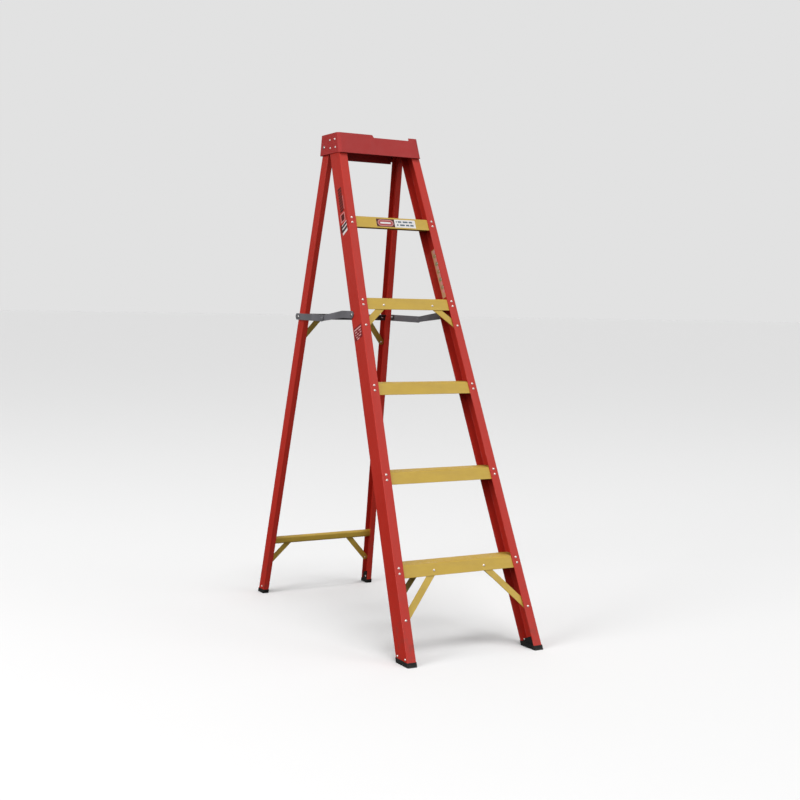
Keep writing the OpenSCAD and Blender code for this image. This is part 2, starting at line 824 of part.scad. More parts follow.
// Outline of a bar that bends at a knee, with a round end at either side
function bent_bar(a, ra, knee, rk, b, rb) =
    let (up_a = tangent(a, ra, knee, rk, 1), up_b = tangent(knee, rk, b, rb, 1),
         down_a = tangent(a, ra, knee, rk, -1), down_b = tangent(knee, rk, b, rb, -1),
         mid = (down_a + down_b) / 2)
    concat(arc(a, ra, up_a, down_a + 360, 24),
           [knee + rk * [cos(mid), sin(mid)]],
           arc(b, rb, down_b, up_b, 24),
           arc(knee, rk, up_b, up_a, 4));

module link(side, x, holes) {
    color("#6b7276") on_side(side) along_x(-x - link_t, -x) difference() {
        children();
        for (h = holes) translate(h[0]) circle(h[1] + fit_gap);
    }
}

module front_link(side) {
    d = centre_joint - front_pivot;
    knee = front_pivot + front_link_knee * d + front_link_hump * [-d[1], d[0]] / norm(d);
    link(side, front_link_x, [[front_pivot, pivot_r], [centre_joint, rivet_r]])
        polygon(bent_bar(front_pivot, front_link_r, knee, front_link_r,
                         centre_joint, front_link_tip_r));
}

module rear_link(side) {
    d = (rear_pivot - centre_joint) / norm(rear_pivot - centre_joint);
    link(side, rear_link_x, [[rear_pivot, pivot_r], [centre_joint, rivet_r]])
        strap(centre_joint, rear_pivot + rear_link_tail * d, rear_link_r * 2);
}

// The centre rivet in two halves, one held by each link
module front_link_stud(side) {
    color("silver") pin_axis(side, front_link_x + link_t, centre_joint) {
        cylinder(r = rivet_r, h = link_t);
        translate([0, 0, link_t]) head(stud_head_r, head_h);
    }
}

module rear_link_stud(side) {
    color("silver") pin_axis(side, rear_link_x + link_t, centre_joint) {
        mirror([0, 0, 1]) head(stud_head_r, head_h);
        cylinder(r = rivet_r, h = link_t);
    }
}

// ---------- labels ----------
label_t = 0.3;
// Extents of the labels along (t) and across (x or d) the step or rail that they are on
step_label_x = [-64, 92];
step_label_t = [-23, 7];
band_t = [1482, 1662];
band_d = [14, 60];
sticker_t = [1096, 1143];
sticker_d = [8, 62];
strip_t = [1262, 1445];
strip_d = [16, 63];

module step_label() {
    color("white") front_plane()
        translate([step_label_x[0], front_wall - label_t, 5 * step_pitch + step_label_t[0]])
            cube([step_label_x[1] - step_label_x[0], label_t,
                  step_label_t[1] - step_label_t[0]]);
}

// Label on a front web; local x is measured inward from the web's outer face
module web_label(side, x, ts, ds) {
    front_rail_frame(side) translate([x, ds[0], ts[0]])
        cube([label_t, ds[1] - ds[0], ts[1] - ts[0]]);
}

top_cap();
cap_rivets();
hinge_pin(LEFT);  // hinge_pin_left
hinge_pin(RIGHT);  // hinge_pin_right
front_rail(LEFT);  // front_rail_left
front_rail(RIGHT);  // front_rail_right
step(1);  // step_1
step(2);  // step_2
step(3);  // step_3
step(4);  // step_4
step(5);  // step_5
step_rivets();
front_brace(LEFT, bottom_apron_spot, bottom_flange_t);  // bottom_front_brace_left
front_brace(RIGHT, bottom_apron_spot, bottom_flange_t);  // bottom_front_brace_right
back_brace(LEFT);  // bottom_back_brace_left
back_brace(RIGHT);  // bottom_back_brace_right
front_brace(LEFT, upper_apron_spot, upper_flange_t);  // upper_front_brace_left
front_brace(RIGHT, upper_apron_spot, upper_flange_t);  // upper_front_brace_right
front_brace_rivets();
front_foot(LEFT);  // front_foot_left
front_foot(RIGHT);  // front_foot_right
front_foot_rivets();
front_pivot_pin(LEFT);  // front_pivot_pin_left
front_pivot_pin(RIGHT);  // front_pivot_pin_right
step_label();
color("#5a1a18") web_label(LEFT, -label_t, band_t, band_d);  // rail_band_left
color("#d8a0a0") web_label(LEFT, -label_t, sticker_t, sticker_d);  // rail_sticker_left
color("#d8b070") web_label(RIGHT, front_wall, strip_t, strip_d);  // rail_strip_right
rear_rail(LEFT);  // rear_rail_left
rear_rail(RIGHT);  // rear_rail_right
upper_rear_bar();
lower_rear_bar();
rear_brace(LEFT, upper_rear_spots, upper_bar_wall);  // upper_rear_brace_left
rear_brace(RIGHT, upper_rear_spots, upper_bar_wall);  // upper_rear_brace_right
rear_brace(LEFT, lower_rear_spots, 0);  // lower_rear_brace_left
rear_brace(RIGHT, lower_rear_spots, 0);  // lower_rear_brace_right
rear_rivets();
rear_foot(LEFT);  // rear_foot_left
rear_foot(RIGHT);  // rear_foot_right
rear_foot_rivets();
rear_pivot_pin(LEFT);  // rear_pivot_pin_left
rear_pivot_pin(RIGHT);  // rear_pivot_pin_right
rear_pivot_spacer(LEFT);  // rear_pivot_spacer_left
rear_pivot_spacer(RIGHT);  // rear_pivot_spacer_right
front_link(LEFT);  // front_link_left
front_link(RIGHT);  // front_link_right
front_link_stud(LEFT);  // front_link_stud_left
front_link_stud(RIGHT);  // front_link_stud_right
rear_link(LEFT);  // rear_link_left
rear_link(RIGHT);  // rear_link_right
rear_link_stud(LEFT);  // rear_link_stud_left
rear_link_stud(RIGHT);  // rear_link_stud_right
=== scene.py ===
import json
from math import cos, radians, sin

import bmesh
import bpy
from mathutils import Matrix, Vector

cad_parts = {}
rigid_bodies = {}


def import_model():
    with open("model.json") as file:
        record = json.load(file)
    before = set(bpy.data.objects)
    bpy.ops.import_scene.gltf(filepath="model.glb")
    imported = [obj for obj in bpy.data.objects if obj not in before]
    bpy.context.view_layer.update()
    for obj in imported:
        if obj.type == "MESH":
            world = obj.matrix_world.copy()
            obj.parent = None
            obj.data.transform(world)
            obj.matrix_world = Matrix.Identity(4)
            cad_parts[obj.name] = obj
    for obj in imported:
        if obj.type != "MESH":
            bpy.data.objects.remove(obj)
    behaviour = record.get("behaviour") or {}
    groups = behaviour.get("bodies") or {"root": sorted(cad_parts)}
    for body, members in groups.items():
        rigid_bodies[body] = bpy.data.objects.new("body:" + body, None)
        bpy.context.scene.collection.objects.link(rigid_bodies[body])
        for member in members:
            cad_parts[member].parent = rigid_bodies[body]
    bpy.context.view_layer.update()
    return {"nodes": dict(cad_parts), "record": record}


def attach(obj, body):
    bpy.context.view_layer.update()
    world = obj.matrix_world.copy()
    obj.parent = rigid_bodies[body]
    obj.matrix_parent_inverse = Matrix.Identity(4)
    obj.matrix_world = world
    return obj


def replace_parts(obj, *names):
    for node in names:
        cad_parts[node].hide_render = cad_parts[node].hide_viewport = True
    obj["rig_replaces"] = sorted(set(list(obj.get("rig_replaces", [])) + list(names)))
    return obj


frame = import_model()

NODES = frame["nodes"]
BODY_OF = {n: b for b, ns in frame["record"]["behaviour"]["bodies"].items() for n in ns}
SLOT_OF = {s["node"]: s["material_slot"] for s in frame["record"]["subparts"]}
MM = 0.001
SIDES = {"left": -1, "right": 1}

# Driving dimensions of the ladder, in metres and degrees
FRONT_LEAN, REAR_LEAN = 23.0, 11.8
STEPS = 5
STEP_PITCH = 304.8 * MM
RAIL_SPAN = (STEPS + 1) * STEP_PITCH  # the rails close in from base to top over this length
FRONT_BASE, FRONT_TOP = 508 * MM, 318 * MM
REAR_BASE, REAR_TOP = 472 * MM, 290 * MM
FRONT_FACE_Y, REAR_FACE_Y = -592.419 * MM, 592.581 * MM
FRONT_WALL = 3.6 * MM


# ---------- frames along the rails ----------
def turned(angle, axis):
    return Matrix.Rotation(radians(angle), 4, axis)


def front_plane():
    """Local X across the ladder, Y into the depth of the front rails, Z up along them."""
    return Matrix.Translation((0, FRONT_FACE_Y, 0)) @ turned(-FRONT_LEAN, "X")


def rear_plane():
    return Matrix.Translation((0, REAR_FACE_Y, 0)) @ turned(REAR_LEAN, "X")


def rail_frame(plane, side, base, top):
    """Along one rail: local X runs from the web's outer face to the middle."""
    taper = Matrix.Rotation(Vector((0, RAIL_SPAN)).angle(Vector(((base - top) / 2, RAIL_SPAN))), 4, "Y")
    flip = Matrix.Scale(-side, 4, (1, 0, 0))
    return plane @ flip @ Matrix.Translation((-base / 2, 0, 0)) @ taper


def front_rail_frame(side):
    return rail_frame(front_plane(), side, FRONT_BASE, FRONT_TOP)


def rear_rail_frame(side):
    return rail_frame(rear_plane(), side, REAR_BASE, REAR_TOP)


# ---------- node trees ----------
class Tree:
    """Short names for the shader nodes that the materials below are made of."""

    def __init__(self, name):
        self.material = bpy.data.materials.new(name)
        self.material.use_nodes = True
        self.nodes = self.material.node_tree.nodes
        self.links = self.material.node_tree.links
        self.shader = self.nodes["Principled BSDF"]

    def add(self, kind, inputs=(), **settings):
        node = self.nodes.new("ShaderNode" + kind)
        for key, value in settings.items():
            setattr(node, key, value)
        for key, value in dict(inputs).items():
            self.put(node.inputs[key], value)
        return node

    def put(self, socket, value):
        if isinstance(value, bpy.types.NodeSocket):
            self.links.new(value, socket)
        else:
            socket.default_value = value

    def place(self, scale=(1, 1, 1)):
        """The piece's own coordinates, in metres, scaled along each of its axes."""
        source = self.add("Attribute", attribute_name="place").outputs["Vector"]
        return self.add("Mapping", {"Vector": source, "Scale": scale}).outputs["Vector"]

    def part_of_place(self, axis):
        split = self.add("SeparateXYZ", {"Vector": self.place()})
        return split.outputs[axis]

    def noise(self, scale, stretch=(1, 1, 1), detail=4.0, roughness=0.55, distortion=0.0):
        return self.add("TexNoise", {
            "Vector": self.place(stretch), "Scale": scale, "Detail": detail,
            "Roughness": roughness, "Distortion": distortion}).outputs["Fac"]

    def cells(self, scale, feature="F1"):
        return self.add("TexVoronoi", {"Vector": self.place(), "Scale": scale},
                        feature=feature).outputs["Distance"]

    def band(self, value, low, high, out_low=0.0, out_high=1.0):
        """Smooth step of a value from one range to another."""
        return self.add("MapRange", {
            "Value": value, "From Min": low, "From Max": high,
            "To Min": out_low, "To Max": out_high}, interpolation_type="SMOOTHSTEP").outputs["Result"]

    def calc(self, operation, a, b=0.0):
        return self.add("Math", {0: a, 1: b}, operation=operation).outputs["Value"]

    def mix(self, factor, a, b, blend="MIX"):
        node = self.add("Mix", data_type="RGBA", blend_type=blend)
        for socket, value in zip((node.inputs[0], node.inputs[6], node.inputs[7]), (factor, a, b)):
            self.put(socket, (*value, 1.0) if isinstance(value, tuple) else value)
        return node.outputs[2]

    def layer(self, name):
        return self.add("Attribute", attribute_name=name).outputs["Fac"]

    def edge(self):
        """1 on the rolled edges of the piece and 0 on its faces."""
        return self.layer("edge")

    def upward(self):
        """1 on faces that look up when the ladder stands open, 0 on the others."""
        return self.band(self.layer("up"), 0.5, 0.9)

    def bump(self, height, strength, distance):
        inputs = {"Height": height, "Strength": strength, "Distance": distance}
        return self.add("Bump", inputs).outputs["Normal"]

    def finish(self, colour, roughness, normal=None, **sockets):
        self.put(self.shader.inputs["Base Color"], colour)
        self.put(self.shader.inputs["Roughness"], roughness)
        if normal is not None:
            self.put(self.shader.inputs["Normal"], normal)
        for key, value in sockets.items():
            self.shader.inputs[key.replace("_", " ")].default_value = value
        return self.material


ALONG = (1.0, 1.0, 0.02)  # stretches a pattern along a rail


def fibreglass(name, light, dark):
    """Pultruded glass fibre: streaks along the rail, a veil of chopped strands, pale rubbed edges."""
    t = Tree(name)
    cloud = t.noise(5.0, detail=3.0)
    streaks = t.noise(900.0, ALONG, detail=3.0)
    veil = t.noise(260.0, (1, 1, 0.5), detail=2.0, distortion=2.5)
    strands = t.band(t.calc("ABSOLUTE", t.calc("SUBTRACT", veil, 0.5)), 0.0, 0.045, 1.0, 0.0)
    colour = t.mix(cloud, dark, light)
    colour = t.mix(t.band(streaks, 0.35, 0.75, 0.0, 0.22), colour, light)
    colour = t.mix(t.calc("MULTIPLY", strands, 0.14), colour, tuple(min(1.0, c * 1.5 + 0.03) for c in light))
    rubbed = t.edge()
    scuffs = t.band(t.noise(60.0, (1, 1, 0.35), detail=6.0, roughness=0.7), 0.52, 0.62)
    rubbed = t.calc("MULTIPLY", rubbed, scuffs)
    colour = t.mix(t.calc("MULTIPLY", rubbed, 0.35), colour, (0.62, 0.22, 0.19))
    height = t.part_of_place("Z")
    dirt = t.band(t.noise(40.0, detail=6.0), 0.45, 0.7)
    dirt = t.calc("MULTIPLY", t.band(height, 0.05, 0.30, 1.0, 0.0), dirt)
    colour = t.mix(t.calc("MULTIPLY", dirt, 0.35), colour, (0.10, 0.055, 0.045))
    roughness = t.band(t.noise(25.0, (1, 1, 0.2), detail=5.0), 0.3, 0.7, 0.30, 0.46)
    roughness = t.calc("MAXIMUM", roughness, t.calc("MULTIPLY", t.calc("MAXIMUM", rubbed, dirt), 0.62))
    grain = t.calc("ADD", t.calc("MULTIPLY", streaks, 0.7), t.calc("MULTIPLY", strands, 0.35))
    return t.finish(colour, roughness, t.bump(grain, 0.35, 0.0004), Specular_IOR_Level=0.30)


def moulded_plastic(name, light, dark):
    """Textured injection moulding with a fine leather grain, flow clouds and polished edges."""
    t = Tree(name)
    cloud = t.noise(9.0, detail=4.0, distortion=0.6)
    colour = t.mix(cloud, dark, light)
    grain = t.cells(900.0, feature="SMOOTH_F1")
    colour = t.mix(t.band(grain, 0.2, 0.7, 0.0, 0.10), colour, tuple(c * 0.6 for c in dark))
    edge = t.edge()
    colour = t.mix(t.calc("MULTIPLY", edge, 0.22), colour, (0.60, 0.16, 0.14))
    scratches = t.noise(140.0, (1.0, 0.06, 1.0), detail=6.0, roughness=0.75)
    scratches = t.calc("MULTIPLY", t.band(scratches, 0.60, 0.68), t.upward())
    colour = t.mix(t.calc("MULTIPLY", scratches, 0.35), colour, (0.50, 0.20, 0.17))
    dust = t.calc("MULTIPLY", t.upward(), t.band(t.noise(30.0, detail=7.0), 0.4, 0.75, 0.0, 0.22))
    colour = t.mix(dust, colour, (0.30, 0.24, 0.20))
    roughness = t.band(t.noise(45.0, detail=5.0), 0.3, 0.7, 0.42, 0.58)
    return t.finish(colour, roughness, t.bump(grain, 0.30, 0.0003), Specular_IOR_Level=0.28)


def painted_steel(name, light, dark, chip, gloss=0.42, chips=0.57):
    """Baked enamel over metal: orange peel, faint mottling, chips and rub marks on the edges."""
    t = Tree(name)
    mottle = t.noise(14.0, detail=5.0, roughness=0.6)
    colour = t.mix(t.band(mottle, 0.3, 0.7), dark, light)
    edge = t.edge()
    worn = t.noise(110.0, detail=7.0, roughness=0.7)
    chipped = t.calc("MULTIPLY", edge, t.band(worn, chips, chips + 0.05))
    smudge = t.band(t.noise(6.0, detail=6.0), 0.45, 0.75, 0.0, 0.20)
    colour = t.mix(smudge, colour, tuple(c * 0.55 for c in dark))
    colour = t.mix(t.calc("MULTIPLY", chipped, 0.8), colour, chip)
    peel = t.noise(420.0, detail=2.0)
    roughness = t.band(t.noise(35.0, detail=5.0), 0.3, 0.7, gloss - 0.08, gloss + 0.1)
    height = t.calc("SUBTRACT", t.calc("MULTIPLY", peel, 0.5), chipped)
    return t.finish(colour, roughness, t.bump(height, 0.25, 0.0003), Specular_IOR_Level=0.45)


def step_metal(name, light, dark):
    """Yellow finished aluminium extrusion, worn to bare metal and grimy on the rib crests."""
    t = Tree(name)
    along = (0.03, 1.0, 1.0)
    mottle = t.noise(18.0, (0.5, 1, 1), detail=5.0, roughness=0.65)
    colour = t.mix(t.band(mottle, 0.3, 0.7), dark, light)
    lines = t.noise(1400.0, along, detail=2.0)
    colour = t.mix(t.band(lines, 0.3, 0.75, 0.0, 0.12), colour, tuple(c * 0.7 for c in dark))
    up = t.upward()
    tread = t.calc("MULTIPLY", up, t.band(t.noise(7.0, (0.6, 1, 1), detail=6.0, roughness=0.65), 0.42, 0.62))
    crest = t.calc("MULTIPLY", tread, t.edge())
    colour = t.mix(t.calc("MULTIPLY", tread, 0.42), colour, (0.20, 0.15, 0.07))
    bare = t.calc("MULTIPLY", crest, t.band(t.noise(150.0, detail=6.0), 0.46, 0.6))
    colour = t.mix(t.calc("MULTIPLY", bare, 0.75), colour, (0.62, 0.58, 0.50))
    scuff = t.calc("MULTIPLY", t.edge(), t.band(t.noise(90.0, detail=7.0), 0.56, 0.63))
    colour = t.mix(t.calc("MULTIPLY", scuff, 0.45), colour, (0.66, 0.60, 0.45))
    roughness = t.band(t.noise(50.0, (0.2, 1, 1), detail=4.0), 0.3, 0.7, 0.36, 0.52)
    roughness = t.calc("MAXIMUM", roughness, t.calc("MULTIPLY", tread, 0.62))
    metallic = t.calc("MULTIPLY", bare, 0.7)
    t.put(t.shader.inputs["Metallic"], metallic)
    return t.finish(colour, roughness, t.bump(lines, 0.22, 0.0002), Specular_IOR_Level=0.45)


def bare_metal(name, light, dark, rough=0.34):
    """Rolled or turned metal with fine tool marks, dull spots and grime."""
    t = Tree(name)
    spots = t.noise(320.0, detail=5.0, roughness=0.65)
    colour = t.mix(t.band(spots, 0.35, 0.7), light, dark)
    grime = t.band(t.noise(60.0, detail=6.0), 0.55, 0.75, 0.0, 0.4)
    colour = t.mix(grime, colour, (0.10, 0.08, 0.07))
    roughness = t.band(spots, 0.3, 0.7, rough, rough + 0.2)
    marks = t.noise(1800.0, detail=2.0)
    return t.finish(colour, roughness, t.bump(marks, 0.2, 0.0001), Metallic=0.9)


def rubber(name):
    """Moulded black rubber with a matt skin, dust in its pores and scuffed edges."""
    t = Tree(name)
    cloud = t.noise(25.0, detail=6.0)
    colour = t.mix(cloud, (0.008, 0.008, 0.008), (0.022, 0.021, 0.020))
    low = t.band(t.part_of_place("Z"), 0.0, 0.02, 1.0, 0.25)
    dust = t.calc("MULTIPLY", low, t.band(t.noise(120.0, detail=7.0), 0.42, 0.7))
    dust = t.calc("MAXIMUM", dust, t.calc("MULTIPLY", t.edge(), t.band(cloud, 0.4, 0.6)))
    colour = t.mix(t.calc("MULTIPLY", dust, 0.20), colour, (0.16, 0.145, 0.13))
    pores = t.cells(1500.0)
    roughness = t.band(cloud, 0.3, 0.7, 0.55, 0.78)
    return t.finish(colour, roughness, t.bump(pores, 0.35, 0.0003), Specular_IOR_Level=0.2)


def vinyl(name, colour, worn=(0.35, 0.30, 0.27), rough=0.38):
    """Printed sticker film with faded ink, scratches and dirt."""
    t = Tree(name)
    fade = t.noise(40.0, detail=5.0)
    ink = t.mix(t.band(fade, 0.3, 0.7, 0.0, 0.30), colour, tuple(c * 0.75 + 0.03 for c in colour))
    scratch = t.noise(400.0, (1.0, 0.08, 0.3), detail=6.0, roughness=0.8)
    ink = t.mix(t.band(scratch, 0.60, 0.66, 0.0, 0.5), ink, worn)
    roughness = t.band(fade, 0.3, 0.7, rough, rough + 0.18)
    return t.finish(ink, roughness, t.bump(scratch, 0.12, 0.0001), Specular_IOR_Level=0.25)


RED_LIGHT, RED_DARK = (0.52, 0.030, 0.018), (0.42, 0.020, 0.011)
MATERIALS = {
    "red_rail": fibreglass("red_fibreglass", RED_LIGHT, RED_DARK),
    "red_cap": moulded_plastic("red_plastic", (0.44, 0.034, 0.032), (0.355, 0.024, 0.022)),
    "yellow_step": step_metal("yellow_step_metal", (0.58, 0.385, 0.053), (0.51, 0.33, 0.044)),
    "yellow_brace": painted_steel("yellow_enamel", (0.59, 0.40, 0.060), (0.50, 0.33, 0.048),
                                  (0.20, 0.18, 0.16)),
    # Painted shade: the yellow enamel darkened to about two thirds, for the braces that stand in shadow
    "olive_brace": painted_steel("yellow_enamel_painted_shade", (0.40, 0.28, 0.046), (0.30, 0.21, 0.036),
                                 (0.16, 0.14, 0.12)),
    "grey_steel": painted_steel("grey_enamel", (0.176, 0.172, 0.186), (0.126, 0.124, 0.134),
                                (0.30, 0.29, 0.28), gloss=0.36, chips=0.60),
    "dark_steel": painted_steel("dark_enamel", (0.050, 0.048, 0.052), (0.030, 0.030, 0.034),
                                (0.20, 0.17, 0.15), gloss=0.40, chips=0.58),
    "pin_steel": bare_metal("pin_steel", (0.50, 0.49, 0.47), (0.32, 0.31, 0.30)),
    "rivet": bare_metal("rivet_aluminium", (0.88, 0.81, 0.77), (0.66, 0.60, 0.57), rough=0.38),
    "rubber": rubber("black_rubber"),
}


# ---------- pieces ----------
WELD = 1e-6  # points closer than this are one point
FLAT = radians(0.4)  # faces within this angle are one face
SHARP = radians(30)  # edges above this angle are rolled
SHORTEST = 0.8 * MM  # edges that meet a sharp edge shorter than this aren't rolled
CREASE = radians(60)  # edges still above this angle are shaded sharp

# Widths of the rolled edges
EDGE_ROLL = {"front_rail": 0.8 * MM, "rear_rail": 0.7 * MM, "foot": 1.2 * MM, "brace": 0.5 * MM,
             "link": 0.6 * MM, "step": 0.35 * MM, "cap": 1.2 * MM, "angle": 0.5 * MM, "tube": 0.4 * MM}


def set_layers(mesh, to_local, rolled=()):
    """Stores each point's place in the piece's own frame, the rolled edges and what looks up."""
    place = mesh.attributes.new("place", "FLOAT_VECTOR", "POINT")
    place.data.foreach_set("vector", [c for v in mesh.vertices for c in to_local @ v.co])
    rolled = set(rolled)
    edge = mesh.attributes.new("edge", "FLOAT", "CORNER")
    edge.data.foreach_set("value", [float(f.index in rolled) for f in mesh.polygons for _ in f.vertices])
    up = mesh.attributes.new("up", "FLOAT", "CORNER")
    up.data.foreach_set("value", [max(0.0, f.normal.z) for f in mesh.polygons for _ in f.vertices])


def copy_mesh(node):
    """The node's mesh as a bmesh with shared points and without its flat triangulation."""
    bm = bmesh.new()
    bm.from_mesh(NODES[node].data)
    bmesh.ops.remove_doubles(bm, verts=bm.verts, dist=WELD)
    bmesh.ops.dissolve_limit(bm, angle_limit=FLAT, verts=bm.verts, edges=bm.edges, delimit={"NORMAL"})
    return bm


def rounded(node, kind, local, segments=2):
    """A copy of a CAD node with rolled edges, which stands in for the node. Where edges lie close
    together, Blender narrows all rolls of the piece, so the width is an upper limit."""
    bm = copy_mesh(node)
    sharp = [e for e in bm.edges if len(e.link_faces) == 2 and e.calc_face_angle() > SHARP]
    tight = {v for e in sharp if e.calc_length() < SHORTEST for v in e.verts}
    edges = [e for e in sharp if not tight.intersection(e.verts)]
    result = bmesh.ops.bevel(bm, geom=edges, offset=EDGE_ROLL[kind], offset_type="OFFSET",
                             segments=segments, profile=0.5, affect="EDGES", clamp_overlap=True)
    bm.faces.index_update()
    rolled = [f.index for f in result["faces"]]
    mesh = bpy.data.meshes.new(node + "_rounded")
    bm.to_mesh(mesh)
    bm.free()
    mesh.shade_smooth()
    mesh.set_sharp_from_angle(angle=CREASE)
    set_layers(mesh, local.inverted(), rolled)
    piece = bpy.data.objects.new(node + "_rounded", mesh)
    bpy.context.scene.collection.objects.link(piece)
    mesh.materials.append(MATERIALS[SLOT_OF[node]])
    normals = piece.modifiers.new("normals", "WEIGHTED_NORMAL")
    normals.keep_sharp = True
    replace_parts(piece, node)
    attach(piece, BODY_OF[node])


def as_packed(node):
    """A CAD node keeps its own shape and gets its material."""
    piece = NODES[node]
    piece.data.materials.clear()
    piece.data.materials.append(MATERIALS[SLOT_OF[node]])
    set_layers(piece.data, Matrix.Identity(4))


for name, side in SIDES.items():
    rounded(f"front_rail_{name}", "front_rail", front_rail_frame(side))
    rounded(f"rear_rail_{name}", "rear_rail", rear_rail_frame(side))
    rounded(f"front_foot_{name}", "foot", front_rail_frame(side), segments=4)
    rounded(f"rear_foot_{name}", "foot", rear_rail_frame(side), segments=4)
    for place in ("bottom_front", "upper_front", "bottom_back"):
        rounded(f"{place}_brace_{name}", "brace", front_plane())
    for place in ("upper", "lower"):
        rounded(f"{place}_rear_brace_{name}", "brace", rear_plane())
    for place in ("front", "rear"):
        rounded(f"{place}_link_{name}", "link", Matrix.Identity(4))
for k in range(1, STEPS + 1):
    rounded(f"step_{k}", "step", front_plane() @ Matrix.Translation((0, 0, k * STEP_PITCH)))
rounded("top_cap", "cap", Matrix.Identity(4), segments=3)
rounded("upper_rear_bar", "angle", rear_plane())
rounded("lower_rear_bar", "tube", rear_plane())

replaced = {n for o in bpy.data.objects for n in o.get("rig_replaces", [])}
LABELS = {"step_label", "rail_band_left", "rail_sticker_left", "rail_strip_right"}
for node in sorted(set(NODES) - replaced - LABELS):
    as_packed(node)


# ---------- labels ----------
INK = {
    "white": vinyl("white_film", (0.78, 0.77, 0.76)),
    "brown": vinyl("brown_ink", (0.085, 0.012, 0.009), worn=(0.22, 0.05, 0.04)),
    "red": vinyl("red_ink", (0.40, 0.075, 0.075)),
    "pale_red": vinyl("pale_red_ink", (0.62, 0.30, 0.29)),
    "maroon": vinyl("maroon_ink", (0.20, 0.008, 0.012), worn=(0.30, 0.04, 0.04)),
    "pink": vinyl("pink_ink", (0.78, 0.38, 0.37), worn=(0.62, 0.24, 0.22)),
    "grey": vinyl("grey_ink", (0.10, 0.14, 0.18)),
    "teal": vinyl("teal_ink", (0.022, 0.050, 0.052)),
    "sand": vinyl("sand_film", (0.66, 0.40, 0.22), worn=(0.50, 0.20, 0.12)),
    "olive": vinyl("olive_ink", (0.42, 0.34, 0.16)),
    "leaf": vinyl("leaf_ink", (0.30, 0.36, 0.18)),
}
INK_NAMES = list(INK)
ARC_STEPS = 5  # straight pieces in a round corner


def box_outline(x0, y0, x1, y1, r=0.0):
    """A rectangle's outline, with round corners where r is above 0."""
    if r <= 0:
        return [(x0, y0), (x1, y0), (x1, y1), (x0, y1)]
    corners = [(x1 - r, y0 + r, 270), (x1 - r, y1 - r, 0), (x0 + r, y1 - r, 90), (x0 + r, y0 + r, 180)]
    arc = [90 * i / ARC_STEPS for i in range(ARC_STEPS + 1)]
    return [(cx + r * cos(radians(a + turn)), cy + r * sin(radians(a + turn)))
            for cx, cy, a in corners for turn in arc]


def slanted(x0, y0, x1, y1, lean):
    """A bar whose right end lies higher than its left end by lean, or lower where that is negative."""
    return [(x0, y0), (x1, y0 + lean), (x1, y1 + lean), (x0, y1)]


class Label:
    """Flat printed shapes on one surface: (x, y) in millimetres, and a height above the surface."""

    def __init__(self, name, node, surface):
        self.name, self.node, self.surface = name, node, surface
        self.bm = bmesh.new()

    def shape(self, outline, ink, top, bottom=0.0):
        rings = [[self.bm.verts.new((x * MM, y * MM, h * MM)) for x, y in outline] for h in (bottom, top)]
        faces = [self.bm.faces.new(rings[0][::-1]), self.bm.faces.new(rings[1])]
        count = len(outline)
        for i in range(count):
            j = (i + 1) % count
            faces.append(self.bm.faces.new((rings[0][i], rings[0][j], rings[1][j], rings[1][i])))
        for face in faces:
            face.material_index = INK_NAMES.index(ink)

    def frame_line(self, x0, y0, x1, y1, line, ink, top):
        """Four bars around a rectangle."""
        self.shape(box_outline(x0, y0, x1, y0 + line), ink, top)
        self.shape(box_outline(x0, y1 - line, x1, y1), ink, top)
        self.shape(box_outline(x0, y0 + line, x0 + line, y1 - line), ink, top)
        self.shape(box_outline(x1 - line, y0 + line, x1, y1 - line), ink, top)

    def done(self):
        bmesh.ops.recalc_face_normals(self.bm, faces=self.bm.faces)
        mesh = bpy.data.meshes.new(self.name)
        self.bm.to_mesh(mesh)
        self.bm.free()
        set_layers(mesh, Matrix.Identity(4))
        mesh.transform(self.surface)
        if self.surface.determinant() < 0:
            mesh.flip_normals()
        for ink in INK_NAMES:
            mesh.materials.append(INK[ink])
        piece = bpy.data.objects.new(self.name, mesh)
        bpy.context.scene.collection.objects.link(piece)
        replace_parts(piece, self.node)
        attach(piece, BODY_OF[self.node])


def surface(origin, across, up, out):
    """A matrix whose X, Y and Z run across, up and out of a surface."""
    return Matrix.Translation(origin) @ Matrix((across, up, out)).transposed().to_4x4()


X, Y, Z = Vector((1, 0, 0)), Vector((0, 1, 0)), Vector((0, 0, 1))


def step_label():
    """Safety panel on the top step: a dark field with a red lozenge, and a pale field with dashes."""
    at = front_plane() @ surface(Vector((0, FRONT_WALL, STEPS * STEP_PITCH)), X, Z, -Y)
    label = Label("step_label_print", "step_label", at)
    film, field, rim, lozenge, bar, dash = 0.16, 0.22, 0.25, 0.27, 0.30, 0.20  # heights
    label.shape(box_outline(-64, -23, 92, 7, 1.5), "white", film)
    label.shape(box_outline(-64, -23, 8, 7, 1.5), "brown", field, film)
    label.shape(box_outline(-59, -20, 3, 4, 11.9), "pale_red", rim, field)
    label.shape(box_outline(-56.5, -17.5, 0.5, 1.5, 9.4), "red", lozenge, rim)
    label.shape(box_outline(-49, -11, -7, -5, 2.9), "white", bar, lozenge)
    half_dash = 3.1
    for y, dashes in ((-1.5, ((14, 18), (22, 36), (42, 62), (66, 80))),
                      (-13.5, ((17, 23), (29, 48), (53, 66), (70, 84)))):
        for x0, x1 in dashes:
            label.shape(box_outline(x0, y - half_dash, x1, y + half_dash, 1.6), "grey", dash, film)
    label.done()


def web_surface(side, inside):
    """Local X along the depth of a front web and Y up the rail, on its outer or its inner face."""
    x = FRONT_WALL if inside else 0.0
    return front_rail_frame(side) @ surface(Vector((x, 0, 0)), Y, Z, X if inside else -X)


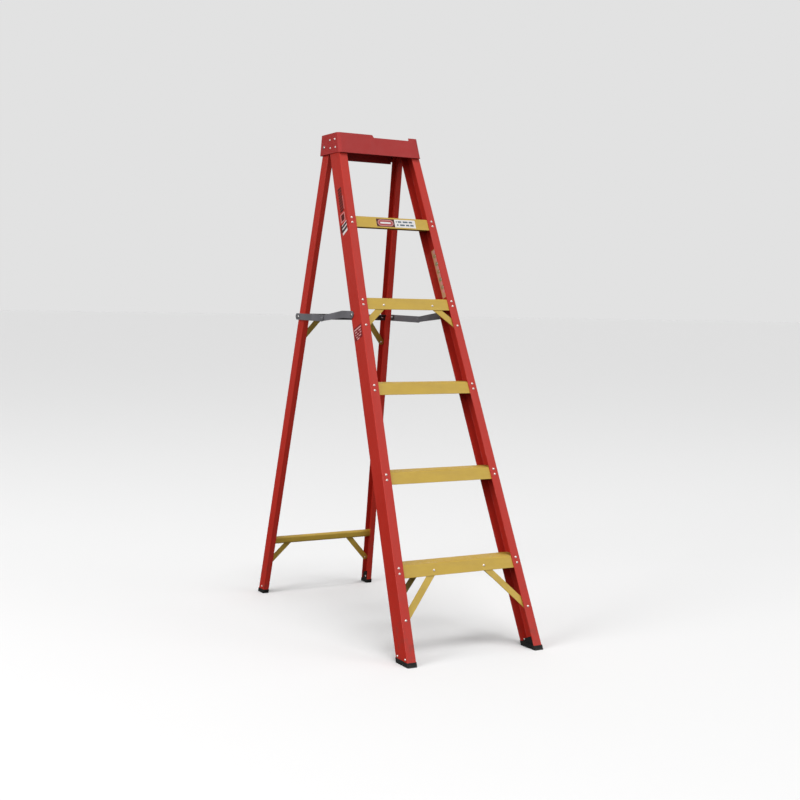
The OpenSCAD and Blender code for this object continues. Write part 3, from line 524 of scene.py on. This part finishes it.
def rail_band():
    """Printed band outside the left rail: dark bars, an outlined box and leaning stripes."""
    label = Label("rail_band_print", "rail_band_left", web_surface(-1, False))
    bar_top, block_top, box_top, stripe_top = 0.20, 0.22, 0.24, 0.26  # heights
    bars, first_bar, bar_pitch, bar_width = 9, 1568, 10.2, 7.8
    for i in range(bars):
        t = first_bar + bar_pitch * i
        label.shape(box_outline(21, t, 48, t + bar_width, 3.4), "brown", bar_top)
    label.shape(box_outline(17, 1572, 18.6, 1622), "pink", bar_top)
    label.frame_line(20, 1531, 52, 1562, 2.8, "pink", box_top)
    label.shape(box_outline(25, 1536, 45, 1557, 3), "brown", box_top)
    label.shape(box_outline(51, 1496, 60, 1526, 2), "brown", block_top)
    for ink, t, width in (("white", 1489, 9), ("teal", 1499.5, 8), ("white", 1509, 4.5),
                          ("teal", 1515, 7), ("white", 1523.5, 3)):
        label.shape(slanted(14, t, 50, t + width, -5), ink, stripe_top)
    label.done()


def rail_sticker():
    """Small dark sticker outside the left rail with one long pale bar and rows of short ones."""
    label = Label("rail_sticker_print", "rail_sticker_left", web_surface(-1, False))
    film, print_top = 0.18, 0.26  # heights
    label.shape(box_outline(8, 1097, 62, 1142.5, 2), "maroon", film)
    label.shape(box_outline(10, 1132.6, 60, 1137), "pink", print_top, film)
    for t, bars in ((1123.5, ((14, 30), (40, 57))), (1114.5, ((12, 24), (32, 44), (50, 57))),
                    (1105.5, ((16, 34), (42, 52))), (1098, ((30, 46),))):
        for x0, x1 in bars:
            label.shape(box_outline(x0, t, x1, t + 3.8, 1), "pink", print_top, film)
    label.done()


def rail_strip():
    """Strip inside the right rail with a chain of rounded spots."""
    label = Label("rail_strip_print", "rail_strip_right", web_surface(1, True))
    film, spot_top, eye_top = 0.16, 0.22, 0.27  # heights
    label.shape(box_outline(16, 1262, 63, 1445, 2), "sand", film)
    spots, first_spot, spot_pitch = 11, 1280, 15
    for i in range(spots):
        t = first_spot + spot_pitch * i
        shift, ink = 5 * (i % 2), ("pink", "olive", "pink", "leaf")[i % 4]
        label.shape(box_outline(18 + shift, t, 54 + shift, t + 11, 5), ink, spot_top, film)
        label.shape(box_outline(28 + shift, t + 3.5, 42 + shift, t + 7.5, 2), "white", eye_top, spot_top)
    label.done()


step_label()
rail_band()
rail_sticker()
rail_strip()


# ---------- floor, light and camera ----------
CAMERA_AT = Vector((-2.19824, -3.89679, 1.0929))
YAW, PITCH, ROLL = radians(29.49), radians(-4.31), radians(1.0)
LENS, SENSOR = 57.41, 36.0  # in millimetres
SHIFT = (0.0110, 0.0078)  # of the picture, as shares of its width
MIDDLE = (0, 0, 0.9)  # what the lights look at
FLOOR_GREY = 0.82
BACKDROP = 0.76  # what the camera sees of the studio, as bright as the far floor
BELOW, HORIZON, SKY = 0.10, 0.85, 0.45  # brightness of the studio below, its walls and its ceiling
CURTAIN = 0.15  # share of it left where a dark curtain hangs
CURTAIN_WAY = (-0.9, 0.43, 0)  # the curtain's direction, to the left behind the ladder


def floor():
    """Pale and plain. It doesn't light the ladder: what comes from below is set by the studio."""
    bpy.ops.mesh.primitive_plane_add(size=400, location=(0, 0, 0))
    plane = bpy.context.object
    plane.name = "floor"
    plane.visible_diffuse = plane.visible_glossy = False
    t = Tree("pale_floor")
    plane.data.materials.append(t.finish((FLOOR_GREY, FLOOR_GREY, FLOOR_GREY, 1.0), 0.9))


def aim(obj, place, target, roll=0.0):
    obj.location = place
    turn = (Vector(target) - Vector(place)).to_track_quat("-Z", "Y")
    obj.rotation_mode = "QUATERNION"
    obj.rotation_quaternion = turn @ Matrix.Rotation(roll, 3, "Z").to_quaternion()


def light(name, kind, place, power, **settings):
    data = bpy.data.lights.new(name, kind)
    data.energy = power
    for key, value in settings.items():
        setattr(data, key, value)
    lamp = bpy.data.objects.new(name, data)
    bpy.context.scene.collection.objects.link(lamp)
    aim(lamp, place, MIDDLE)


def studio():
    """World: bright walls, a softer ceiling, a dark curtain and a pale backdrop for the camera."""
    world = bpy.data.worlds.new("studio")
    world.use_nodes = True
    nodes, links = world.node_tree.nodes, world.node_tree.links
    ray = nodes.new("ShaderNodeTexCoord").outputs["Generated"]

    def feed(node, *values):
        for socket, value in zip(node.inputs, values):
            if isinstance(value, bpy.types.NodeSocket):
                links.new(value, socket)
            else:
                socket.default_value = value
        return node

    def ramp(value, low, high, out_low, out_high):
        node = nodes.new("ShaderNodeMapRange")
        node.interpolation_type = "SMOOTHSTEP"
        return feed(node, value, low, high, out_low, out_high).outputs["Result"]

    def calc(operation, a, b):
        node = nodes.new("ShaderNodeMath")
        node.operation = operation
        return feed(node, a, b).outputs["Value"]

    height = feed(nodes.new("ShaderNodeSeparateXYZ"), ray).outputs["Z"]
    toward = nodes.new("ShaderNodeVectorMath")
    toward.operation = "DOT_PRODUCT"
    feed(toward, ray, CURTAIN_WAY)
    walls = ramp(height, -0.06, -0.01, BELOW, HORIZON)
    walls = calc("ADD", walls, ramp(height, 0.3, 0.5, 0.0, SKY - HORIZON))
    walls = calc("MULTIPLY", walls, ramp(toward.outputs["Value"], 0.35, 0.75, 1.0, CURTAIN))
    seen = nodes.new("ShaderNodeLightPath").outputs["Is Camera Ray"]
    backdrop = calc("MULTIPLY", seen, BACKDROP)
    unseen = calc("MULTIPLY", calc("SUBTRACT", 1.0, seen), walls)
    feed(nodes["Background"], (1, 1, 1, 1), calc("ADD", backdrop, unseen))
    bpy.context.scene.world = world


def lights():
    light("key", "SUN", (-0.55, -2.6, 10.6), 1.55, angle=radians(28))
    light("left", "AREA", (-9.0, -1.6, 3.1), 600, shape="DISK", size=6.0)
    light("front", "AREA", (5.2, -6.3, 5.7), 140, shape="RECTANGLE", size=4.5, size_y=7.5)
    studio()


def camera():
    """Stands to the left in front of the ladder and looks a little down at its middle."""
    ahead = Vector((sin(YAW) * cos(PITCH), cos(YAW) * cos(PITCH), sin(PITCH)))
    data = bpy.data.cameras.new("camera")
    data.lens, data.sensor_width = LENS, SENSOR
    data.shift_x, data.shift_y = SHIFT
    view = bpy.data.objects.new("camera", data)
    bpy.context.scene.collection.objects.link(view)
    aim(view, CAMERA_AT, CAMERA_AT + ahead, roll=ROLL)
    bpy.context.scene.camera = view


floor()
lights()
camera()
bpy.context.scene.view_settings.view_transform = "Standard"
